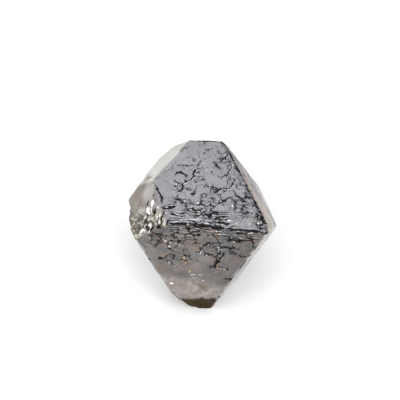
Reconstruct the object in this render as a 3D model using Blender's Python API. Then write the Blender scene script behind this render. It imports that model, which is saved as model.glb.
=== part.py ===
"""A loose rough diamond: a distorted octahedron that rests on its lower back face.

The crystal is worked out in its own frame, in millimetres: X to the right and Z up along its long axis,
with the two broad front faces towards -Y. It is then turned so that the lower back face lies on Z = 0.
"""

import math
import random

import bmesh
import bpy
import numpy as np
from mathutils import Matrix, Vector

MM = 0.001
NAME = "diamond_crystal"

# Each face: azimuth and elevation of its normal in degrees, and its distance from the centre in mm.
# A perfect octahedron would have 35.3 degrees everywhere; this one grew and dissolved unevenly.
FACES = {
    "upper_front": (268.5, 35.6, 2.77),
    "upper_back": (92.8, 36.2, 2.27),
    "upper_right": (356.0, 38.0, 3.25),
    "upper_left_high": (179.0, 39.9, 3.92),
    "upper_left_low": (180.5, 28.9, 3.77),
    "lower_front": (269.4, -35.5, 2.70),
    "lower_back": (90.0, -35.3, 3.10),
    "lower_right": (356.5, -33.4, 3.12),
    "lower_left": (179.7, -33.7, 3.20),
}

# Bevels and breaks that take off the left edge, the two side corners and the bottom tip.
BREAKS = {
    "left_shoulder": (224.0, 44.8, 3.69),
    "left_break": (237.2, 21.5, 3.56),
    "left_end": (171.2, -14.4, 3.20),
    "right_corner": (34.8, -4.3, 2.68),
    "tip_break": (276.5, -60.5, 3.71),
    "tip_side": (158.3, -66.6, 4.28),
    "tip_nick": (181.4, -51.6, 3.74),
}

REST_FACE = "lower_back"

# Side of the block that the planes cut, and how close a corner may come to a plane before it counts as on it.
BLOCK_SIZE = 20.0
ON_PLANE = 1e-6

# Relief, in mm. A cutter starts this far above the face that it cuts.
RISE = 0.45
GROOVE_WIDTH = 0.10
GROOVE_DEPTH = 0.07
END_TAPER = 0.35

# Etched steps on the two front faces: points in mm along and up the face from the foot of its normal.
ETCH_LINES = {
    "upper_front": (
        ((-1.5, 1.52), (-1.3, 1.6), (-0.9, 1.58), (-0.72, 1.72)),
        ((-1.5, 0.98), (-1.42, 1.12), (-1.1, 1.09), (-0.9, 0.99)),
        ((-1.52, 0.68), (-1.28, 0.49), (-1.04, 0.58), (-0.87, 0.69), (-0.62, 0.75), (-0.56, 1.1)),
        ((-1.24, 0.03), (-1.08, 0.1), (-1.0, 0.3)),
        ((-0.78, 0.26), (-0.63, 0.18), (-0.48, 0.17)),
        ((-0.26, 0.36), (-0.33, 0.14), (-0.45, -0.12)),
        ((0.1, 0.45), (0.22, 0.55), (0.56, 0.5), (0.75, 0.44)),
        ((0.7, 0.22), (0.82, 0.32), (0.94, 0.45)),
        ((1.06, 0.48), (1.36, 0.49), (1.44, 0.7), (1.54, 1.0)),
        ((1.5, 0.37), (1.66, 0.33), (1.92, 0.02), (2.28, 0.0)),
        ((0.72, 1.17), (0.87, 1.1), (1.0, 1.26), (1.19, 1.3), (1.27, 1.66), (1.28, 1.9)),
        ((0.44, 1.96), (0.5, 1.8), (0.72, 1.68)),
        ((0.62, 2.36), (0.76, 2.27), (0.9, 2.4)),
        ((0.97, -0.36), (1.14, -0.36), (1.34, -0.05), (1.56, -0.03), (1.72, -0.22), (1.88, -0.66)),
        ((-1.3, -0.48), (-1.08, -0.51), (-0.62, -0.66), (-0.36, -0.6)),
        ((-1.57, -0.84), (-1.37, -0.82), (-1.22, -0.7)),
        ((-1.86, -1.05), (-1.64, -1.06), (-1.5, -0.98), (-1.15, -0.95)),
        ((-0.63, -0.96), (-0.4, -0.94), (-0.03, -1.0), (0.14, -0.9)),
        ((-0.02, -1.28), (0.17, -1.22), (0.27, -1.1), (0.42, -1.18), (0.74, -1.18)),
        ((0.62, -1.4), (0.9, -1.42), (1.06, -1.36), (1.42, -1.36)),
    ),
    "lower_front": (
        ((-0.46, 1.4), (-0.2, 1.43), (0.18, 1.42)),
        ((-0.96, 0.92), (-0.7, 0.82)),
        ((-2.1, 0.42), (-1.95, 0.74)),
        ((-1.5, 0.5), (-1.38, 0.74), (-1.16, 0.92)),
        ((0.0, 0.25), (0.18, 0.25), (0.28, 0.57), (0.46, 0.9), (0.62, 0.92), (0.76, 0.8)),
        ((0.45, 0.19), (0.86, 0.19)),
        ((1.72, 1.32), (2.2, 1.32), (2.47, 1.33)),
        ((1.05, 0.55), (1.22, 0.65), (1.36, 0.8), (1.88, 0.8)),
        ((1.1, 0.2), (1.06, -0.3), (1.0, -0.58), (1.26, -0.54), (1.66, -0.7)),
        ((-1.52, -0.58), (-1.36, -0.63), (-1.02, -0.88)),
        ((2.58, 1.7), (2.78, 1.5), (2.98, 1.14)),
    ),
}

# Growth ledges that break the front edge between the broad faces: left end, right end and top in mm on
# the upper front face, and how deep each one is cut.
FRONT_LEDGES = (
    (-2.3, -1.3, -1.55, 0.05),
    (-2.1, -0.7, -1.76, 0.12),
    (-0.9, 0.7, -1.84, 0.09),
    (0.4, 1.5, -1.66, 0.05),
    (0.8, 2.3, -1.86, 0.12),
    (2.1, 3.3, -1.94, 0.07),
)
LEDGE_FOOT = -2.9
LEDGE_JOG = 0.08
LEDGE_END = 0.11
LEDGE_DROP = 0.04

# Two stepped layers along the lower half of the right front edge, on the upper front face.
RIGHT_STEPS = (
    (((2.36, 0.1), (2.68, -0.5), (2.9, -0.82), (3.05, -1.15), (3.26, -1.42), (3.36, -1.9)), 0.14),
    (((2.42, -0.5), (2.64, -0.9), (2.86, -1.22), (3.0, -1.6), (3.02, -1.9)), 0.07),
)
RIGHT_STEP_OUTSIDE = ((3.6, -2.7), (4.9, -2.4), (4.9, 0.4), (3.2, 0.4))

# Shell-like steps in the left break: centre on that face, radius, first and last angle, and depth.
SHELL_CENTRE = (-1.35, 0.95)
SHELL_STEPS = ((2.05, 205, 330, 0.06), (1.55, 200, 345, 0.13), (1.05, 195, 350, 0.21))
SHELL_OUTER = 3.6
SHELL_SIDES = 9

# Round pits: face, place in mm, radius and depth.
PITS = (
    ("upper_front", (0.15, -0.05), 0.15, 0.09),
    ("upper_front", (-0.68, 2.03), 0.08, 0.06),
    ("upper_front", (-0.35, 1.3), 0.08, 0.06),
    ("lower_front", (-0.45, 1.78), 0.14, 0.09),
    ("lower_front", (-1.85, -0.43), 0.11, 0.07),
)
PIT_SIDES = 10

# Three-sided etch pits, as dissolution leaves on octahedron faces: face, place, size and depth.
TRIGONS = (
    ("upper_back", (-0.9, 0.4), 0.55, 0.07),
    ("upper_back", (0.8, -0.5), 0.34, 0.05),
    ("upper_back", (0.3, 1.3), 0.26, 0.05),
    ("upper_back", (-0.2, -0.7), 0.22, 0.05),
    ("lower_back", (0.6, 0.2), 0.50, 0.06),
    ("lower_back", (-0.6, -0.7), 0.30, 0.05),
    ("upper_right", (-0.6, 0.2), 0.44, 0.06),
    ("upper_right", (0.7, -0.8), 0.30, 0.05),
    ("lower_right", (0.2, -0.6), 0.48, 0.06),
    ("lower_right", (-1.0, 0.8), 0.26, 0.05),
    ("lower_left", (0.1, -0.5), 0.52, 0.06),
    ("lower_left", (0.9, 0.8), 0.28, 0.05),
)

# Worn growth layers along the sides of the hidden faces: how far in from the side, and how deep.
LAYERED_FACES = ("upper_back", "upper_right", "lower_right", "lower_left")
LAYERS = ((0.52, 0.03), (0.22, 0.055))
LAYER_MIN_SIDE = 1.6
LAYER_MARGIN = 0.6
LAYER_POINTS = 8
LAYER_WAVER = (0.6, 1.15)
LAYER_SEED = 7

# Where along its side a layer starts and ends, as shares of that side.
LAYER_START = (0.08, 0.3)
LAYER_END = (0.62, 0.9)

STONE_COLOUR = (0.30, 0.285, 0.29, 1.0)
STONE_ROUGHNESS = 0.22
STONE_IOR = 2.417


def normal_of(azimuth, elevation):
    """Unit vector that points at an azimuth around Z and an elevation above the girdle, in degrees."""
    around, above = math.radians(azimuth), math.radians(elevation)
    flat = math.cos(above)
    return Vector((flat * math.cos(around), flat * math.sin(around), math.sin(above)))


def face_axes(name):
    """Foot of the face's normal, the direction along the face, the direction up it, and the normal."""
    azimuth, elevation, distance = {**FACES, **BREAKS}[name]
    normal = normal_of(azimuth, elevation)
    along = Vector((0, 0, 1)).cross(normal).normalized()
    return normal * distance, along, normal.cross(along), normal


def on_face(name, point, height=0.0):
    """Place in the crystal of a point given in mm on a face, at a height above that face."""
    foot, along, up, normal = face_axes(name)
    return foot + along * point[0] + up * point[1] + normal * height


def clear_scene():
    for thing in list(bpy.data.objects):
        bpy.data.objects.remove(thing, do_unlink=True)


def body_form():
    """The faceted form: a block cut by the plane of each face and of each break."""
    form = bmesh.new()
    bmesh.ops.create_cube(form, size=BLOCK_SIZE)
    for name in (*FACES, *BREAKS):
        foot, _, _, normal = face_axes(name)
        everything = form.verts[:] + form.edges[:] + form.faces[:]
        cut = bmesh.ops.bisect_plane(
            form, geom=everything, dist=ON_PLANE, plane_co=foot, plane_no=normal, clear_outer=True
        )
        rim = [item for item in cut["geom_cut"] if isinstance(item, bmesh.types.BMEdge)]
        bmesh.ops.contextual_create(form, geom=rim)
    bmesh.ops.recalc_face_normals(form, faces=form.faces[:])
    return form


def face_outline(form, name):
    """Corners of one face of the form, in mm on that face, in order."""
    foot, along, up, normal = face_axes(name)
    face = max(form.faces, key=lambda item: item.normal.dot(normal))
    return [((v.co - foot).dot(along), (v.co - foot).dot(up)) for v in face.verts]


def add_prism(cutter, name, outline, depth):
    """Adds a prism that stands on an outline on a face and reaches a depth below that face."""
    low = [cutter.verts.new(on_face(name, point, -depth)) for point in outline]
    high = [cutter.verts.new(on_face(name, point, RISE)) for point in outline]
    cutter.faces.new(low)
    cutter.faces.new(high)
    for i in range(len(outline)):
        j = (i + 1) % len(outline)
        cutter.faces.new((low[i], low[j], high[j], high[i]))


def groove_outline(points, width):
    """Closed outline of a ribbon along points, narrow at its two ends."""
    line = np.array(points)
    step = np.gradient(line, axis=0)
    side = np.stack([-step[:, 1], step[:, 0]], axis=1)
    side /= np.linalg.norm(side, axis=1, keepdims=True)
    half = np.full((len(line), 1), width / 2)
    half[[0, -1]] *= END_TAPER
    return [*(line + side * half), *(line - side * half)[::-1]]


def polygon(centre, radius, sides, turn=0.0):
    """Corners of a regular polygon."""
    angles = [turn + 2 * math.pi * i / sides for i in range(sides)]
    return [(centre[0] + radius * math.cos(a), centre[1] + radius * math.sin(a)) for a in angles]


def etch_cutters(cutter):
    for name, lines in ETCH_LINES.items():
        for points in lines:
            add_prism(cutter, name, groove_outline(points, GROOVE_WIDTH), GROOVE_DEPTH)


def ledge_cutters(cutter):
    """Ledges with a jogged top, open towards the front edge."""
    for left, right, top, depth in FRONT_LEDGES:
        third = (right - left) / 3
        outline = (
            (left, LEDGE_FOOT),
            (right, LEDGE_FOOT),
            (right - LEDGE_END, top - LEDGE_DROP),
            (left + 2 * third, top),
            (left + 2 * third - LEDGE_JOG, top - LEDGE_JOG),
            (left + LEDGE_END, top - LEDGE_DROP),
        )
        add_prism(cutter, "upper_front", outline, depth)


def right_step_cutters(cutter):
    for line, depth in RIGHT_STEPS:
        add_prism(cutter, "upper_front", (*line, *RIGHT_STEP_OUTSIDE), depth)


def shell_cutters(cutter):
    """Nested arcs of the shell-like fracture, each a ring sector that is deeper than the one outside it."""
    for radius, first, last, depth in SHELL_STEPS:
        angles = np.radians(np.linspace(first, last, SHELL_SIDES))
        ring = np.stack([np.cos(angles), np.sin(angles)], axis=1)
        inner = SHELL_CENTRE + ring * (SHELL_OUTER - radius)
        outer = SHELL_CENTRE + ring * SHELL_OUTER
        add_prism(cutter, "left_break", (*inner, *outer[::-1]), depth)


def pit_cutters(cutter):
    for name, place, radius, depth in PITS:
        add_prism(cutter, name, polygon(place, radius, PIT_SIDES), depth)
    for name, place, size, depth in TRIGONS:
        points_up = FACES[name][1] > 0
        turn = math.radians(-90 if points_up else 90)
        add_prism(cutter, name, polygon(place, size / math.sqrt(3), 3, turn), depth)


def layer_cutters(cutter, form):
    """Strips along the longer sides of each hidden face, over part of the side, that step the face down."""
    draw = random.Random(LAYER_SEED)
    for name in LAYERED_FACES:
        corners = [Vector(corner) for corner in face_outline(form, name)]
        middle = sum(corners, Vector((0, 0))) / len(corners)
        for start, end in zip(corners, corners[1:] + corners[:1]):
            side = end - start
            if side.length < LAYER_MIN_SIDE:
                continue
            along = side.normalized()
            inward = Vector((-along.y, along.x))
            if inward.dot(middle - start) < 0:
                inward = -inward
            first, last = draw.uniform(*LAYER_START), draw.uniform(*LAYER_END)
            for inset, depth in LAYERS:
                rim = [
                    start + side * share + inward * inset * draw.uniform(*LAYER_WAVER)
                    for share in np.linspace(last, first, LAYER_POINTS)
                ]
                near = start + side * first - inward * LAYER_MARGIN
                far = start + side * last - inward * LAYER_MARGIN
                add_prism(cutter, name, (near, far, *rim), depth)


def make_object(name, mesh_data):
    """Turns a bmesh in crystal millimetres into an object in metres."""
    bmesh.ops.recalc_face_normals(mesh_data, faces=mesh_data.faces[:])
    mesh = bpy.data.meshes.new(name)
    mesh_data.to_mesh(mesh)
    mesh_data.free()
    mesh.transform(Matrix.Scale(MM, 4))
    thing = bpy.data.objects.new(name, mesh)
    bpy.context.scene.collection.objects.link(thing)
    return thing


def cut(thing, cutter):
    """Takes the cutter's shapes out of a thing, which keeps the result as its own mesh."""
    modifier = thing.modifiers.new("relief", "BOOLEAN")
    modifier.operation = "DIFFERENCE"
    modifier.solver = "EXACT"
    modifier.use_self = True
    modifier.object = cutter
    bpy.context.view_layer.update()
    graph = bpy.context.evaluated_depsgraph_get()
    carved = bpy.data.meshes.new_from_object(thing.evaluated_get(graph))
    thing.modifiers.clear()
    thing.data = carved
    bpy.data.objects.remove(cutter, do_unlink=True)


def rest_turn():
    """Rotation that lays the rest face on the floor and leaves the crystal's X axis along world X."""
    azimuth, elevation, _ = FACES[REST_FACE]
    up = -normal_of(azimuth, elevation)
    right = Vector((1, 0, 0))
    back = up.cross(right).normalized()
    return Matrix((right, back, up)).to_4x4()


def stand_on_origin(thing):
    """Shifts the mesh so that the middle of the foot of its box is the origin."""
    corners = np.array([corner.co for corner in thing.data.vertices])
    low, high = corners.min(axis=0), corners.max(axis=0)
    middle = (low + high) / 2
    thing.data.transform(Matrix.Translation((-middle[0], -middle[1], -low[2])))


def stone_material():
    material = bpy.data.materials.new("rough_diamond")
    material.use_nodes = True
    shader = material.node_tree.nodes["Principled BSDF"]
    shader.inputs["Base Color"].default_value = STONE_COLOUR
    shader.inputs["Roughness"].default_value = STONE_ROUGHNESS
    shader.inputs["Metallic"].default_value = 0.0
    shader.inputs["IOR"].default_value = STONE_IOR
    return material


def main():
    clear_scene()
    form = body_form()
    cutter = bmesh.new()
    etch_cutters(cutter)
    ledge_cutters(cutter)
    right_step_cutters(cutter)
    shell_cutters(cutter)
    pit_cutters(cutter)
    layer_cutters(cutter, form)
    crystal = make_object(NAME, form)
    cut(crystal, make_object("relief_cutter", cutter))
    crystal.data.transform(rest_turn())
    stand_on_origin(crystal)
    crystal.data.materials.clear()
    crystal.data.materials.append(stone_material())


if __name__ == "__main__":
    main()
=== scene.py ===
"""Looks of a loose rough diamond: one closed, finely etched surface that stands for the plain solid.

The surface is worked out in millimetres round the crystal's centre. Each growth face and each break is a
plane. A ray from near the centre meets the surface where it meets the nearest plane, lowered by that plane's
own relief.
"""

import itertools
import math
from collections import namedtuple

import bpy
import numpy as np
from bpy.props import FloatProperty, FloatVectorProperty, IntProperty, PointerProperty
from mathutils import Matrix, Vector


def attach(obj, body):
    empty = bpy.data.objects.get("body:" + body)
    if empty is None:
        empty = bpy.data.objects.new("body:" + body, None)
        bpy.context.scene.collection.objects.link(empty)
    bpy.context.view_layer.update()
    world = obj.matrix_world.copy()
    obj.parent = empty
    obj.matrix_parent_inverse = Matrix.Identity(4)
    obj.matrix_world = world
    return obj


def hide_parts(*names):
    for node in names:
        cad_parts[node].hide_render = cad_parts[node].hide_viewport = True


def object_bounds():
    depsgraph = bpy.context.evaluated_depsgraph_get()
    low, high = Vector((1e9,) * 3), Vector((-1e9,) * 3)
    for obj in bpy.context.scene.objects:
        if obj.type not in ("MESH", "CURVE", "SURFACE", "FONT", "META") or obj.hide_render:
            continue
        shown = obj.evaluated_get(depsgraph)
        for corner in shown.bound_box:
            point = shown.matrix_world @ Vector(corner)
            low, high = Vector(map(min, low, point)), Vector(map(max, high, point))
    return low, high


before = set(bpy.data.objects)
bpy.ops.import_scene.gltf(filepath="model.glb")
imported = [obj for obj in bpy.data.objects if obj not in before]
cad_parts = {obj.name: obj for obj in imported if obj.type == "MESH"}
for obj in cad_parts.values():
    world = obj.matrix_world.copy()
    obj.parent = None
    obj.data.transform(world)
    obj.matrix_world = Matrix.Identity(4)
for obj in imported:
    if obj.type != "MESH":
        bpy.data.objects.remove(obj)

bl_info = {
    "name": "Rough Diamond",
    "version": (1, 0, 0),
    "blender": (4, 5, 0),
    "location": "3D View > Sidebar > Rough Diamond",
    "description": "Builds the etched surface and the stone of a rough diamond, and its studio",
    "category": "Add Mesh",
}

NODE = "diamond_crystal"
CAD_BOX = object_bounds()
MM = 0.001

# Growth faces and breaks: azimuth and elevation of the normal in degrees, and distance from the centre in mm.
FACES = {
    "upper_front": (268.5, 35.6, 2.77),
    "upper_back": (92.8, 36.2, 2.27),
    "upper_right": (356.0, 38.0, 3.25),
    "upper_left_high": (179.0, 39.9, 3.92),
    "upper_left_low": (180.5, 28.9, 3.77),
    "lower_front": (269.4, -35.5, 2.70),
    "lower_back": (90.0, -35.3, 3.10),
    "lower_right": (356.5, -33.4, 3.12),
    "lower_left": (179.7, -33.7, 3.20),
}
BREAKS = {
    "left_shoulder": (224.0, 44.8, 3.69),
    "left_break": (237.2, 21.5, 3.56),
    "left_end": (171.2, -14.4, 3.20),
    "right_corner": (34.8, -4.3, 2.68),
    "tip_break": (276.5, -60.5, 3.71),
    "tip_side": (158.3, -66.6, 4.28),
    "tip_nick": (181.4, -51.6, 3.74),
}
RESTING = "lower_back"

# Azimuth of the grid's corners, and where its rays start, in mm: in front of the centre, so that vertices lie
# closest together on the front faces.
GRID_CORNER = 45.0
RAY_START = (0.0, -0.9, 0.0)

# How squarely a ray has to meet a plane, how far past its edges a face's relief is worked out, how deep the
# relief of the resting face starts, both in mm, and the least share of a ray that relief leaves.
LEAST_FACING = 0.02
RELIEF_OVERLAP = 0.9
REST_DEPTH = 0.045
LEAST_REACH = 0.2

# Where the photograph was taken from: turn, tilt and roll against the crystal, in degrees, and its scale.
PHOTO_YAW = 5.0
PHOTO_PITCH = 4.5
PHOTO_ROLL = 5.5
PHOTO_PX = 400
PX_PER_MM = 19.4
CENTRE_PX = (203.5, 222)

# Etched lines read off the two front faces: half width in mm, then places in mm along and up the face.
FINE, PLAIN, THICK = 0.019, 0.027, 0.042
ETCHED = {
    "upper_front": (
        (PLAIN, (-1.5, 1.52), (-1.3, 1.6), (-0.9, 1.58), (-0.74, 1.7)),
        (THICK, (-1.48, 1.0), (-1.43, 1.12), (-1.3, 1.14), (-1.1, 1.09), (-0.9, 0.99)),
        (PLAIN, (-1.52, 0.66), (-1.28, 0.49), (-1.1, 0.58)),
        (PLAIN, (-1.28, 0.49), (-1.36, 0.32)),
        (PLAIN, (-1.02, 0.56), (-0.87, 0.69), (-0.64, 0.75), (-0.58, 0.95), (-0.57, 1.15), (-0.45, 1.45)),
        (THICK, (-1.22, 0.03), (-1.1, 0.09), (-1.0, 0.24), (-1.02, 0.45)),
        (PLAIN, (-0.76, 0.25), (-0.63, 0.19), (-0.5, 0.17)),
        (PLAIN, (-0.26, 0.36), (-0.33, 0.14), (-0.43, -0.1)),
        (FINE, (-0.45, 0.85), (-0.35, 0.59)),
        (PLAIN, (0.1, 0.46), (0.2, 0.55), (0.4, 0.52), (0.56, 0.5), (0.73, 0.45)),
        (THICK, (0.71, 0.24), (0.82, 0.31), (0.93, 0.44)),
        (PLAIN, (1.06, 0.48), (1.35, 0.49), (1.4, 0.62), (1.5, 0.85), (1.52, 1.0)),
        (PLAIN, (1.5, 0.37), (1.63, 0.35), (1.78, 0.18), (1.92, 0.02)),
        (PLAIN, (1.92, 0.02), (2.1, 0.02), (2.26, 0.0), (2.28, 0.14)),
        (PLAIN, (0.72, 1.17), (0.86, 1.1), (0.98, 1.25), (1.18, 1.29), (1.2, 1.46), (1.28, 1.68)),
        (PLAIN, (1.28, 1.68), (1.29, 1.86), (1.13, 2.15)),
        (FINE, (1.35, 1.72), (1.52, 1.75)),
        (FINE, (1.22, 1.3), (1.35, 1.02)),
        (THICK, (0.44, 1.94), (0.5, 1.81), (0.7, 1.7)),
        (PLAIN, (0.38, 2.67), (0.5, 2.7)),
        (PLAIN, (0.62, 2.35), (0.75, 2.27), (0.9, 2.4), (0.98, 2.27)),
        (FINE, (-0.17, 2.68), (0.1, 2.77)),
        (THICK, (-1.83, -1.05), (-1.66, -1.06), (-1.5, -0.98), (-1.17, -0.95)),
        (THICK, (-2.1, -1.44), (-1.97, -1.38)),
        (PLAIN, (-2.17, -1.66), (-1.97, -1.68), (-1.76, -1.65)),
        (PLAIN, (-1.86, -1.84), (-1.57, -1.79)),
        (PLAIN, (-0.63, -0.97), (-0.41, -0.94), (-0.23, -0.96), (-0.03, -1.0), (0.13, -0.9)),
        (THICK, (0.01, -1.28), (0.19, -1.22), (0.26, -1.08), (0.4, -1.17), (0.72, -1.18)),
        (THICK, (0.72, -1.03), (0.95, -1.01)),
        (PLAIN, (0.61, -1.28), (0.85, -1.33), (1.03, -1.36), (1.4, -1.36)),
        (PLAIN, (1.18, -1.63), (1.39, -1.56), (1.69, -1.55)),
        (PLAIN, (0.66, -1.64), (0.86, -1.7), (1.06, -1.74), (1.36, -1.75)),
        (PLAIN, (-0.8, -1.84), (-0.39, -1.81), (-0.02, -1.8), (0.62, -1.8), (1.0, -1.9)),
        (PLAIN, (2.99, -0.81), (3.22, -1.15), (3.37, -1.37), (3.54, -1.69)),
        (PLAIN, (3.17, -1.26), (3.34, -1.63)),
        (THICK, (2.24, -0.86), (2.39, -0.83)),
        (PLAIN, (2.09, -0.26), (2.23, -0.16), (2.44, -0.24)),
        (PLAIN, (2.15, -0.65), (2.27, -0.46), (2.44, -0.5)),
        (PLAIN, (0.97, -0.36), (1.14, -0.37), (1.24, -0.2), (1.35, -0.06), (1.55, -0.03), (1.71, -0.2)),
        (PLAIN, (1.71, -0.2), (1.84, -0.43), (1.89, -0.68)),
        (FINE, (0.59, -0.19), (0.57, -0.3)),
        (THICK, (-2.35, 0.15), (-2.16, -0.14), (-2.04, -0.34), (-1.94, -0.5), (-1.95, -0.68)),
        (PLAIN, (-1.57, -0.84), (-1.37, -0.82), (-1.23, -0.71)),
        (PLAIN, (-1.3, -0.48), (-1.1, -0.51), (-0.83, -0.6), (-0.6, -0.66), (-0.36, -0.6)),
        (PLAIN, (-0.02, -0.65), (0.07, -0.55), (0.26, -0.6)),
        (FINE, (-1.38, -0.69), (-1.24, -0.62)),
    ),
    "lower_front": (
        (PLAIN, (-0.44, 1.4), (-0.2, 1.42), (0.16, 1.42)),
        (THICK, (-0.94, 0.9), (-0.72, 0.83)),
        (FINE, (-2.1, 0.42), (-1.95, 0.72)),
        (PLAIN, (-1.5, 0.53), (-1.39, 0.74), (-1.17, 0.91)),
        (PLAIN, (0.46, 0.88), (0.61, 0.91), (0.74, 0.8)),
        (FINE, (0.8, 0.85), (0.95, 0.93)),
        (PLAIN, (0.0, 0.25), (0.18, 0.25), (0.27, 0.57), (0.37, 0.78)),
        (PLAIN, (0.45, 0.19), (0.84, 0.19)),
        (FINE, (0.9, 0.07), (1.1, 0.04)),
        (THICK, (1.73, 1.32), (2.21, 1.32), (2.45, 1.33)),
        (PLAIN, (1.05, 0.54), (1.22, 0.65), (1.35, 0.79), (1.87, 0.8)),
        (PLAIN, (1.1, 0.12), (1.06, -0.33), (1.0, -0.59), (1.24, -0.54), (1.65, -0.7)),
        (FINE, (1.28, 0.02), (1.43, 0.42)),
        (THICK, (-1.93, -0.45), (-1.72, -0.41)),
        (PLAIN, (-1.52, -0.59), (-1.37, -0.63), (-1.04, -0.88)),
        (FINE, (1.5, -1.35), (1.8, -1.35)),
        (FINE, (1.85, 0.45), (2.1, 0.42)),
        (PLAIN, (2.59, 1.69), (2.77, 1.52), (2.99, 1.16)),
    ),
}

# Round pits: place in mm along and up the face, radius and depth.
PITS = {
    "upper_front": (
        (0.15, -0.05, 0.17, 0.09),
        (-0.35, 1.9, 0.05, 0.03),
        (-0.68, 2.02, 0.08, 0.06),
        (-0.2, 2.47, 0.05, 0.03),
        (-0.35, 1.3, 0.08, 0.06),
        (0.33, 1.35, 0.05, 0.03),
        (1.2, -0.5, 0.05, 0.04),
    ),
    "lower_front": (
        (-0.45, 1.78, 0.14, 0.09),
        (-1.85, -0.43, 0.11, 0.07),
        (-1.55, 1.15, 0.05, 0.04),
    ),
}

# Three-sided etch pits: place in mm, length of a side and depth.
TRIGONS = {
    "upper_back": (
        (-0.9, 0.4, 0.55, 0.07),
        (0.8, -0.5, 0.34, 0.05),
        (0.3, 1.3, 0.26, 0.05),
        (-0.2, -0.7, 0.22, 0.05),
    ),
    "lower_back": ((0.6, 0.2, 0.50, 0.06), (-0.6, -0.7, 0.30, 0.05)),
    "upper_right": ((-0.6, 0.2, 0.44, 0.06), (0.7, -0.8, 0.30, 0.05)),
    "lower_right": ((0.2, -0.6, 0.48, 0.06), (-1.0, 0.8, 0.26, 0.05)),
    "lower_left": ((0.1, -0.5, 0.52, 0.06), (0.9, 0.8, 0.28, 0.05)),
}

# Shell-like steps of the left break, in mm: their centre, and how deep the face lies at distances from it.
SHELL_CENTRE = (-1.35, 0.95)
SHELL_DISTANCES = (1.4, 1.6, 2.0, 2.15, 2.5, 2.65)
SHELL_DEPTHS = (0.0, 0.06, 0.07, 0.13, 0.14, 0.21)

# Height of the rough part of the left break, and where two faces meet in a brown spot, in mm on each face.
BREAK_ROUGH_TOP = -0.4
BROWN_SPOTS = {"left_break": (-1.45, 0.75), "left_shoulder": (-0.95, -0.72)}
BROWN_RADIUS = 0.28

# Growth ledges that step a face down to a side: pitch, number, rise of each and how far they wander, in mm.
# The side and back faces all have the same.
LEDGES = {
    ("upper_front", "lower_front"): (0.17, 6, 0.018, 0.24),
    ("lower_front", "upper_front"): (0.13, 4, 0.018, 0.16),
    ("upper_front", "upper_right"): (0.10, 4, 0.016, 0.08),
}
OTHER_LEDGES = (0.13, 4, 0.014, 0.42)

# Half width in mm of the dark line along an edge, for the edges that have one.
EDGE_LINES = {
    frozenset(("upper_front", "upper_back")): 0.07,
    frozenset(("upper_front", "upper_right")): 0.06,
    frozenset(("lower_front", "lower_right")): 0.055,
    frozenset(("upper_front", "lower_front")): 0.07,
    frozenset(("upper_right", "right_corner")): 0.03,
    frozenset(("lower_right", "right_corner")): 0.05,
    frozenset(("lower_front", "lower_left")): 0.03,
}

# Where the fine etching crowds on the two front faces: place in mm, radius and amount.
CROWDED = {
    "upper_front": (
        (0.75, 2.2, 0.6, 0.6),
        (2.1, -0.5, 0.6, 0.75),
        (-1.1, 0.7, 0.4, 0.4),
        (0.55, 0.15, 0.4, 0.5),
        (-0.1, 0.9, 0.5, 0.35),
        (0.2, -0.6, 0.5, 0.35),
        (-0.9, -0.6, 0.7, 0.35),
        (0.3, -1.4, 1.0, 0.45),
        (-1.4, 2.2, 0.3, 0.35),
        (1.6, 1.0, 0.5, 0.35),
    ),
    "lower_front": (
        (-1.7, 1.3, 0.9, 0.45),
        (0.2, 1.6, 1.2, 0.4),
        (-1.2, -0.2, 0.7, 0.4),
        (-0.4, -0.1, 0.5, 0.4),
        (2.4, 1.3, 0.8, 0.45),
        (0.9, -0.2, 0.9, 0.3),
        (1.2, 1.1, 0.7, 0.3),
        (-0.9, 0.9, 0.6, 0.3),
        (-2.3, 0.6, 0.6, 0.35),
    ),
}

# Networks of fine etching: size of a cell and half width of its border in mm, how much further than the
# crowds it spreads, and how steeply its cells lean. The cells of the last one glint.
NETWORKS = ((0.46, 0.017, 0.12, 0.12), (0.25, 0.016, -0.08, 0.4), (0.13, 0.0, 0.0, 0.4))

# Warm glints on the lower front face: place in mm and radius.
WARM_GLINTS = (
    (-0.63, -0.21, 0.07), (-0.52, -0.53, 0.05), (-0.3, -1.1, 0.09), (1.05, -0.45, 0.05), (0.35, -2.05, 0.05)
)

# Height on the lower front face below which it is frosted, and the white flecks and streak of painted
# highlight in the frost.
FROST_TOP = -1.3
FROST_GLINTS = (
    (0.39, -1.62, 0.06), (-1.22, -2.04, 0.1), (0.61, -2.46, 0.07), (0.03, -2.2, 0.04), (0.96, -1.81, 0.04)
)
FROST_GLINT_STREAK = ((-0.3, -1.31), (0.05, -1.24), (0.3, -1.25))

# Skin of a growth face: how brown it is, how pale, how milky, how smooth, and the height of its waves in mm.
# How pale and milky the upper right face is comes from its streaks.
Skin = namedtuple("Skin", "warm pale milky smooth waves")
SKINS = {
    "upper_front": Skin(0.0, 0.0, 0.15, 0.0, 0.005),
    # The lower front face's brown and blue grey is partly its own colour and partly painted shade, darker
    # than the upper face.
    "lower_front": Skin(1.0, 0.0, 0.50, 0.0, 0.010),
    "upper_right": Skin(0.0, 0.0, 0.0, 0.9, 0.008),
    "lower_right": Skin(0.1, 1.05, 0.20, 0.9, 0.008),
}
HIDDEN_SKIN = Skin(0.15, 0.95, 0.13, 0.5, 0.008)

# Share of the smallest etched cells that glint, on the two front faces and on the others.
SPARKLE = {"upper_front": 0.18, "lower_front": 0.05}
OTHER_SPARKLE = 0.03

# How pale and how milky the smooth bevels are.
BEVELS = {"left_shoulder": (1.0, 0.5), "right_corner": (0.3, 0.3)}

# Shift of a glint from its dark line, in mm along and up the face.
GLINT_SHIFT = (0.03, -0.05)

# What the surface carries at its points, and how far in mm from a line or glint its field fades to nothing.
# Lines carry painted shade, and glints painted highlights.
MASKS = ("lines", "glints", "broken", "pale", "milky", "tan", "frosted", "stained", "warm", "tone", "smooth")
LINE_REACH = 0.1

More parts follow.
